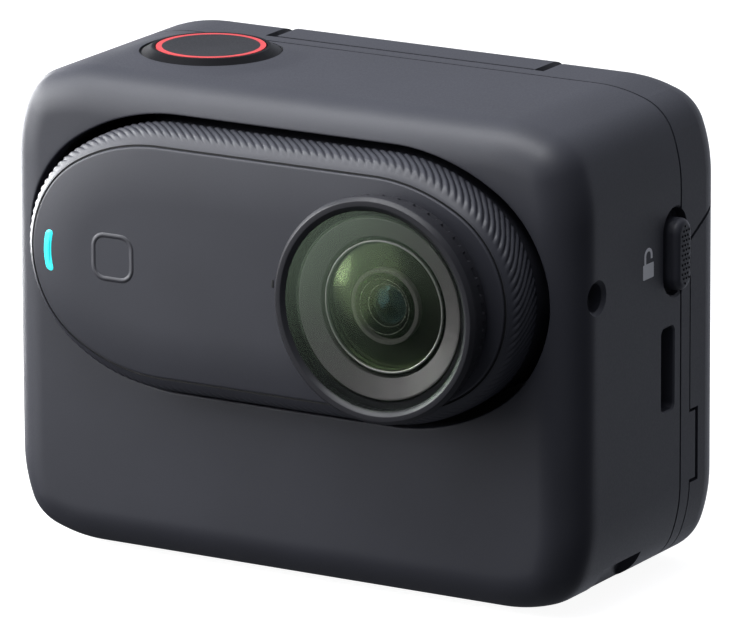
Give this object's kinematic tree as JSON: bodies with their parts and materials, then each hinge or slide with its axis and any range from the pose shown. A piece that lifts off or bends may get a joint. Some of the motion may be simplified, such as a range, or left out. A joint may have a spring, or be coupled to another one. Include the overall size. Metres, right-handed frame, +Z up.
{
  "type": "pocket action camera",
  "caption": "Pocket action camera: a ribbed, pill-shaped camera in an open-fronted pod with a flip-up screen, a shutter button and a lock slider.",
  "frame": {"origin": "middle of the flat base that the pod stands on, midway between its front and back faces", "axes": "+X to the right in the front view, +Y from the lens towards the screen, +Z up"},
  "size_m": [0.065, 0.0374, 0.0483],
  "materials": {
    "shell": "soft matt charcoal coating",
    "liner": "plain moulded black",
    "gasket": "matt black",
    "board": "green solder mask",
    "tin": "tinned sheet",
    "copper": "bare copper foil",
    "cell": "dark laminate pouch",
    "speaker": "moulded",
    "mesh": "black woven mesh",
    "gold": "gold plated",
    "magnet": "nickel plated",
    "bezel": "satin black",
    "cap": "fine matt, slightly dished",
    "red": "satin red",
    "steel": "dark steel",
    "display_glass": "black printed cover glass",
    "display": "dark panel",
    "case": "moulded slanted ribs",
    "face": "smooth satin charcoal",
    "light": "lit cyan diffuser",
    "lens_metal": "black anodised",
    "hood": "satin grey cone",
    "guard_metal": "dark anodised with a bright chamfer",
    "lens_glass": "coated",
    "guard_glass": "coated flat glass",
    "sensor": "polished"
  },
  "bodies": {
    "pod": {"front_shell": "shell", "rear_frame": "shell", "bay_liner": "liner", "seam_gasket": "gasket", "main_board": "board", "processor_shield": "tin", "heat_spreader": "copper", "wifi_antenna": "copper", "pod_battery": "cell", "speaker": "speaker", "speaker_mesh": "mesh", "contact_block": "liner", "contact_pins": "gold", "bay_magnets": "magnet", "usb_socket": "tin", "side_switches": "tin", "shutter_switch": "tin", "shutter_bezel": "bezel", "hinge_brackets": "tin", "hinge_pins": "steel", "hinge_washers": "steel", "mount_magnets": "magnet", "case_screws": "steel", "catch_magnets": "magnet", "usb_door_pin": "steel"},
    "shutter": {"shutter_cap": "cap", "shutter_ring": "red"},
    "power_key": {"power_button": "shell"},
    "quick_key": {"quick_button": "shell"},
    "port_cover": {"usb_door": "shell"},
    "lock": {"lock_slider": "shell", "lock_hook": "liner"},
    "screen": {"screen_frame": "shell", "hinge_arm": "shell", "screen_glass": "display_glass", "lcd_panel": "display", "screen_board": "board", "screen_magnets": "magnet", "screen_screws": "steel"},
    "camera": {"camera_case": "case", "face_gasket": "gasket", "camera_face": "face", "status_light": "light", "guard_mount": "lens_metal", "lens_hood": "hood", "lens_barrel": "lens_metal", "front_element": "lens_glass", "iris_ring": "lens_metal", "rear_elements": "lens_glass", "image_sensor": "sensor", "camera_board": "board", "camera_battery": "cell", "camera_contacts": "gold", "camera_magnets": "magnet"},
    "guard_turn": {"guard_seal": "gasket"},
    "guard": {"guard_ring": "guard_metal", "guard_glass": "guard_glass"}
  },
  "joints": [
    {"name": "screen_flip", "type": "hinge", "parent": "pod", "child": "screen", "pos_m": [0, 0.01135, 0.04425], "axis": [1, 0, 0], "range_deg": [0, 180]},
    {"name": "shutter_press", "type": "slide", "parent": "pod", "child": "shutter", "axis": [0, 0, -1], "range_m": [0, 0.0004], "stiffness_N_per_m": 3000},
    {"name": "power_press", "type": "slide", "parent": "pod", "child": "power_key", "axis": [1, 0, 0], "range_m": [0, 0.0003], "stiffness_N_per_m": 3000},
    {"name": "quick_press", "type": "slide", "parent": "pod", "child": "quick_key", "axis": [1, 0, 0], "range_m": [0, 0.0003], "stiffness_N_per_m": 3000},
    {"name": "port_cover_swing", "type": "hinge", "parent": "pod", "child": "port_cover", "pos_m": [-0.03125, -0.002, 0.0089], "axis": [0, -1, 0], "range_deg": [0, 105]},
    {"name": "lock_slide", "type": "slide", "parent": "pod", "child": "lock", "axis": [0, 0, 1], "range_m": [0, 0.0008]},
    {"name": "camera_slide", "type": "slide", "parent": "pod", "child": "camera", "axis": [0, -1, 0], "range_m": [0, 0.03]},
    {"name": "guard_twist", "type": "hinge", "parent": "camera", "child": "guard_turn", "pos_m": [0.0144, -0.0207, 0.03045], "axis": [0, -1, 0], "range_deg": [0, 28]},
    {"name": "guard_pull", "type": "slide", "parent": "guard_turn", "child": "guard", "axis": [0, -1, 0], "range_m": [0, 0.008]}
  ]
}
